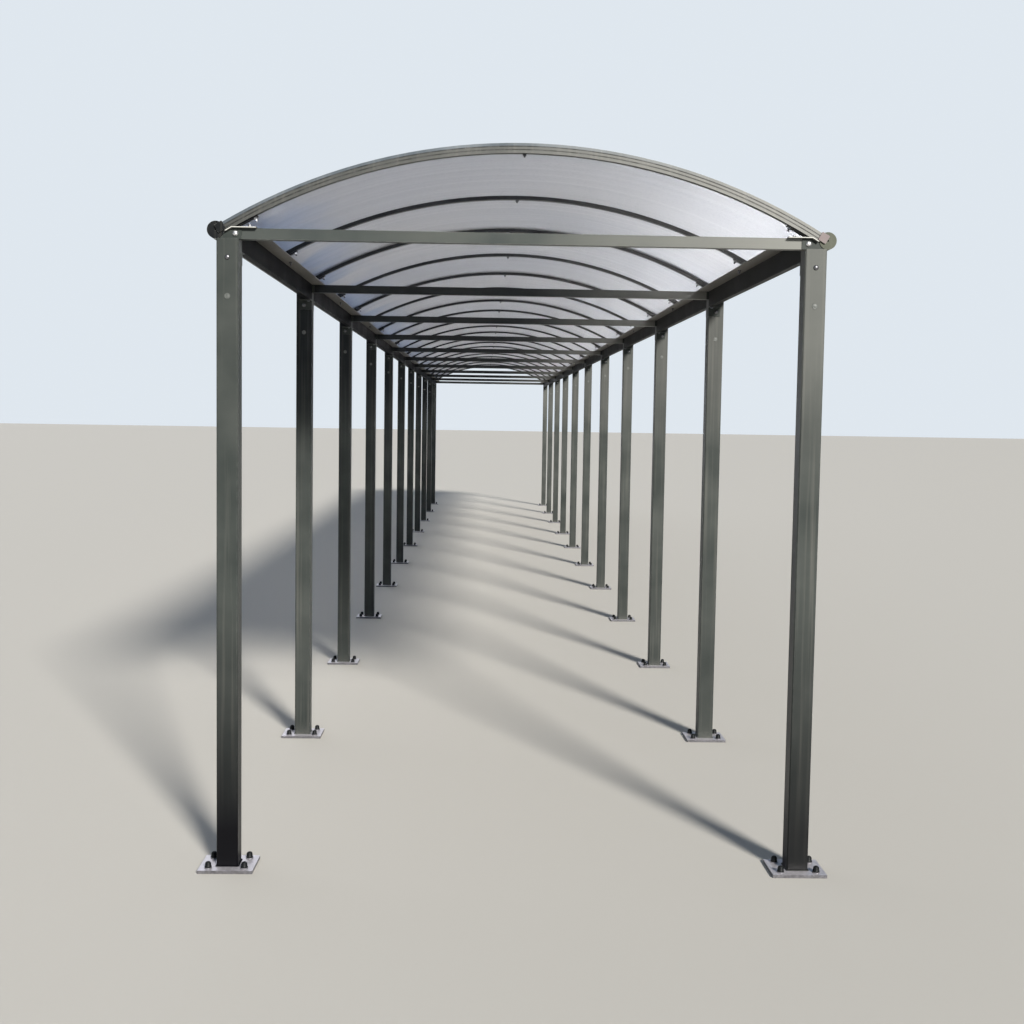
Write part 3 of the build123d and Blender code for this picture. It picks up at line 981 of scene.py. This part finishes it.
# %% [markdown]
# ## Bolts at the eaves
#
# The tie ends are bolted through the cheeks of their shoes with big domed heads.
# The eaves plate is bolted down under the foot of every hoop, with a washer, a nut
# and the end of the stud above it. Between the frames nothing hides the underside
# of the plate, so there the stud comes out below. The blanks are stacked as a
# fitter would, so one list of places serves them all.

# %% Tie bolts on both cheeks of every shoe
CHEEK_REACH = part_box("right_tie_shoes")[1].y - FRAMES[-1]
TIE_BOLT_ACROSS = 1.054
TIE_BOLT_LEVEL = post_top + 0.020
big_dome = turned([
    (0, -SINK), (0.0112, -SINK), (0.0112, 0.0016), (0.0100, 0.0040),
    (0.0070, 0.0062), (0.0035, 0.0071), (0, 0.0073),
])
tie_bolt_places = [
    (Vector((side * TIE_BOLT_ACROSS, place + toward * CHEEK_REACH, TIE_BOLT_LEVEL)), (0, toward, 0))
    for side, place, toward in POST_FACES
]
fasteners("tie_bolts", [(big_dome, bright_zinc)], tie_bolt_places)

# %% Washers, nuts, studs and pairs of places
WASHER_TOP = 0.0016
NUT_START = 0.0015
NUT_CHAMFER = 0.0008
STUD_CHAMFER = 0.0008


def washer_and_nut(radius, width, top, material):
    """A flat washer and the nut on it, both in one material."""
    washer = turned([(0, -SINK), (radius, -SINK), (radius, WASHER_TOP), (0, WASHER_TOP)])
    return [(washer, material), (six_sided(width, NUT_START, top, NUT_CHAMFER), material)]


def stud(length):
    """The end of a stud that stands out of its nut, with its tip taken off."""
    shoulder = length - STUD_CHAMFER
    return turned([(0, 0), (0.0035, 0), (0.0035, shoulder), (0.0027, length), (0, length)], 8)


def on_both_sides(across, places, level, way):
    """Points on both sides of the walkway at each of the places along it, facing up or down."""
    return [(Vector((side * across, place, level)), (0, 0, way)) for side in SIDES for place in places]


print("washers are", WASHER_TOP * 1000, "mm thick")

# %% Nuts and studs on the eaves plate
EAVES_BOLT_ACROSS = 1.005
EAVES_PLATE_THICKNESS = 0.003
eaves_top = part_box("right_eaves_plate")[1].z
above_plate = washer_and_nut(0.008, 0.012, 0.0075, bright_zinc) + [(stud(0.013), bright_zinc)]
eaves_places = on_both_sides(EAVES_BOLT_ACROSS, HOOPS, eaves_top, 1)
fasteners("eaves_bolts", above_plate, eaves_places)
below_plate = [(six_sided(0.012, -SINK, 0.0065, NUT_CHAMFER), dark_zinc), (stud(0.016), dark_zinc)]
under_places = on_both_sides(EAVES_BOLT_ACROSS, MID_BAYS, eaves_top - EAVES_PLATE_THICKNESS, -1)
fasteners("eaves_bolt_ends", below_plate, under_places)

# %% [markdown]
# ## Bolts that hang under the hoops
#
# Each hoop is held by a bolt through the strap at either foot, and one more shows
# under its crown. They stand square to the curve. The arch is part of a circle, so
# the way that such a bolt points is the line from its place to the centre of that
# circle, and no angle has to be measured.

# %% Bolts under the hoop feet and the crowns
STRAP_UNDER = ARCH_RADIUS - 0.0066
FOOT_BOLT_ACROSS = 0.986


def under_arch(across, place, radius):
    """A point on a circle about the centre of the arch, and the way back to the centre."""
    outward = Vector((across, 0, math.sqrt(radius**2 - across**2))) / radius
    return Vector((0, place, ARCH_CENTRE)) + outward * radius, -outward


foot_bolt_places = [
    under_arch(side * FOOT_BOLT_ACROSS, place, STRAP_UNDER) for side in SIDES for place in HOOPS
]
foot_bolt = [(six_sided(0.013, -0.001, 0.0065, NUT_CHAMFER), bright_zinc), (stud(0.0145), dark_zinc)]
fasteners("hoop_foot_bolts", foot_bolt, foot_bolt_places)
crown_bolt = washer_and_nut(0.009, 0.013, 0.0080, dark_zinc) + [(stud(0.014), dark_zinc)]
crown_places = [under_arch(0, place, ARCH_RADIUS) for place in HOOPS]
fasteners("crown_bolts", crown_bolt, crown_places)

# %% [markdown]
# ## Weld beads at the feet
#
# Each post is welded to its plate all the way round. The bead is a ripple of
# small overlapping pools. A round tube bent round the post would look like cord,
# so the bead is raised instead: a square ring goes up in steps over a bulge, every
# second point of the bulge stands a little further out, and the last step is
# bridged back to the first, which closes the bead.

# %% Weld beads
BEAD_WIDTH = 0.0042
BEAD_HEIGHT = 0.0044
RIPPLE = 0.0006
POOLS = 22
CORNER_PULL = 0.94
BEAD_OUTLINE = [(1.0, -0.03), (0.9, 0.45), (0.5, 0.85), (-0.1, 1.0), (-0.1, -0.03)]


def weld_bead():
    """A rippled ring round a post. The outline is in widths and heights of the bead."""
    made = bmesh.new()
    bmesh.ops.create_grid(made, x_segments=POOLS, y_segments=POOLS, size=1.0)
    bmesh.ops.delete(made, geom=[v for v in made.verts if not v.is_boundary], context="VERTS")
    first = ring = list(made.edges)
    for count, (reach, rise) in enumerate(BEAD_OUTLINE):
        if count:
            grown = bmesh.ops.extrude_edge_only(made, edges=ring)["geom"]
            corners = {item for item in grown if isinstance(item, bmesh.types.BMVert)}
            ring = [edge for edge in made.edges if set(edge.verts) <= corners]
        for vertex in {v for edge in ring for v in edge.verts}:
            flat = Vector((vertex.co.x, vertex.co.y))
            flat /= max(abs(flat.x), abs(flat.y))
            pool = round((flat.x + flat.y) * POOLS / 2) % 2 if 0 < reach < 1 else 0
            corner = CORNER_PULL if abs(flat.x) > 0.99 and abs(flat.y) > 0.99 else 1.0
            flat *= (post_half + reach * BEAD_WIDTH + pool * RIPPLE) * corner
            vertex.co = (flat.x, flat.y, rise * BEAD_HEIGHT)
    bmesh.ops.bridge_loops(made, edges=first + ring)
    bmesh.ops.recalc_face_normals(made, faces=made.faces)
    return made


foot_places = on_both_sides(post_centre, FRAMES, plate_high, 1)
fasteners("weld_beads", [(weld_bead(), post_paint)], foot_places, turn_by=0.0)

# %% [markdown]
# ## Bolts under the purlin seats
#
# Each purlin lies on an angle at either end and is bolted down to it. From below
# only a washer and a nut show, so no more is made. There is a seat wherever a bay
# follows, so the test for a bay serves again.

# %% Washers and nuts under the seats
PURLIN_WIDTH = 0.025
SEAT_BOLT_OUT = 0.027
purlin_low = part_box("right_purlins")[0]
seat_bolt_across = purlin_low.x + PURLIN_WIDTH / 2
seat_under = purlin_low.z - SEAT_THICKNESS
seat_bolt_places = [
    (Vector((side * seat_bolt_across, place + toward * (post_half + SEAT_BOLT_OUT), seat_under)), (0, 0, -1))
    for side, place, toward in POST_FACES if bay_beyond(place, toward)
]
seat_bolt = washer_and_nut(0.009, 0.013, 0.0075, dark_zinc)
fasteners("seat_bolts", seat_bolt, seat_bolt_places)

# %% [markdown]
# ## Screws and gaskets on the roof
#
# The cover strips and end trims are screwed into the hoops, each screw with a
# rubber washer under its head. A black rubber lip shows wherever a strip or a trim
# meets a sheet, which keeps the rain out. A curve with a bevel could make it, but
# on a circle a small rectangle, spun about the centre of the arch, is simpler and
# lies on the sheet all the way.

# %% Roof screws
SCREW_ANGLES = [math.radians(4 + 8 * i) for i in range(-4, 4)]


def over_arch(angle, place, radius):
    """A point on top of the roof and the way out from it."""
    outward = Vector((math.sin(angle), 0, math.cos(angle)))
    return Vector((0, place, ARCH_CENTRE)) + outward * radius, outward


screw = turned([(0, -SINK), (0.0070, -SINK), (0.0066, 0.0012), (0.0045, 0.0034), (0, 0.0040)], 10)
rubber = turned([(0, -0.0003), (0.0082, -0.0003), (0.0080, 0.0010), (0, 0.0010)], 10)
screw_places = [over_arch(angle, place, STRIP_TOP) for place in FRAMES for angle in SCREW_ANGLES]
fasteners("roof_screws", [(rubber, black_cap), (screw, bright_zinc)], screw_places)

# %% Rubber lips beside the cover strips
LIP_END = math.radians(30.5)
LIP_INNER, LIP_OUTER, LIP_RISE = 0.0220, 0.0265, 0.0007
LIP_STEPS = 44


def rubber_lip(made, place, toward):
    """A small upright rectangle beside a strip, spun from one eaves to the other."""
    section = bmesh.ops.create_grid(made, x_segments=1, y_segments=1, size=0.5)["verts"]
    stand = Matrix.Rotation(math.pi / 2, 4, "Y")
    size = Matrix.Diagonal((1, LIP_OUTER - LIP_INNER, LIP_RISE, 1))
    beside = place + toward * (LIP_INNER + LIP_OUTER) / 2
    up_to = Matrix.Translation((0, beside, SHEET_TOP + LIP_RISE / 2))
    start = Matrix.Translation((0, 0, ARCH_CENTRE)) @ Matrix.Rotation(-LIP_END, 4, "Y")
    bmesh.ops.transform(made, matrix=start @ up_to @ size @ stand, verts=section)
    faces = {face for vertex in section for face in vertex.link_faces}
    edges = {edge for vertex in section for edge in vertex.link_edges}
    bmesh.ops.spin(
        made, geom=section + list(edges) + list(faces), cent=(0, place, ARCH_CENTRE), axis=(0, 1, 0),
        dvec=(0, 0, 0), angle=2 * LIP_END, steps=LIP_STEPS, use_merge=False,
    )


lips = bmesh.new()
for place in FRAMES:
    for toward in (-1, 1):
        if bay_beyond(place, toward):
            rubber_lip(lips, place, toward)
bmesh.ops.recalc_face_normals(lips, faces=lips.faces)
finish_piece("rubber_lips", lips, [black_cap])

# %% [markdown]
# ## Screws in the gutter caps
#
# A cap closes each end of a gutter tube, and one sunk screw in its middle holds it.
# The cap already has its hole, so the screw only has to fill it: a low turned head
# that ends below the face of the cap.

# %% Gutter cap screws
GUTTER_RADIUS = 0.032
gutter_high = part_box("right_gutter_tube")[1]
gutter_across = gutter_high.x - GUTTER_RADIUS
gutter_level = gutter_high.z - GUTTER_RADIUS
cap_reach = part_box("gutter_caps")[1].y
cap_screw = turned([(0, -0.0035), (0.0034, -0.0035), (0.0034, -0.0022), (0.0020, -0.0016), (0, -0.0015)])
cap_screw_places = [
    (Vector((side * gutter_across, end * cap_reach, gutter_level)), (0, end, 0))
    for side in SIDES for end in (-1, 1)
]
fasteners("gutter_cap_screws", [(cap_screw, black_cap)], cap_screw_places)
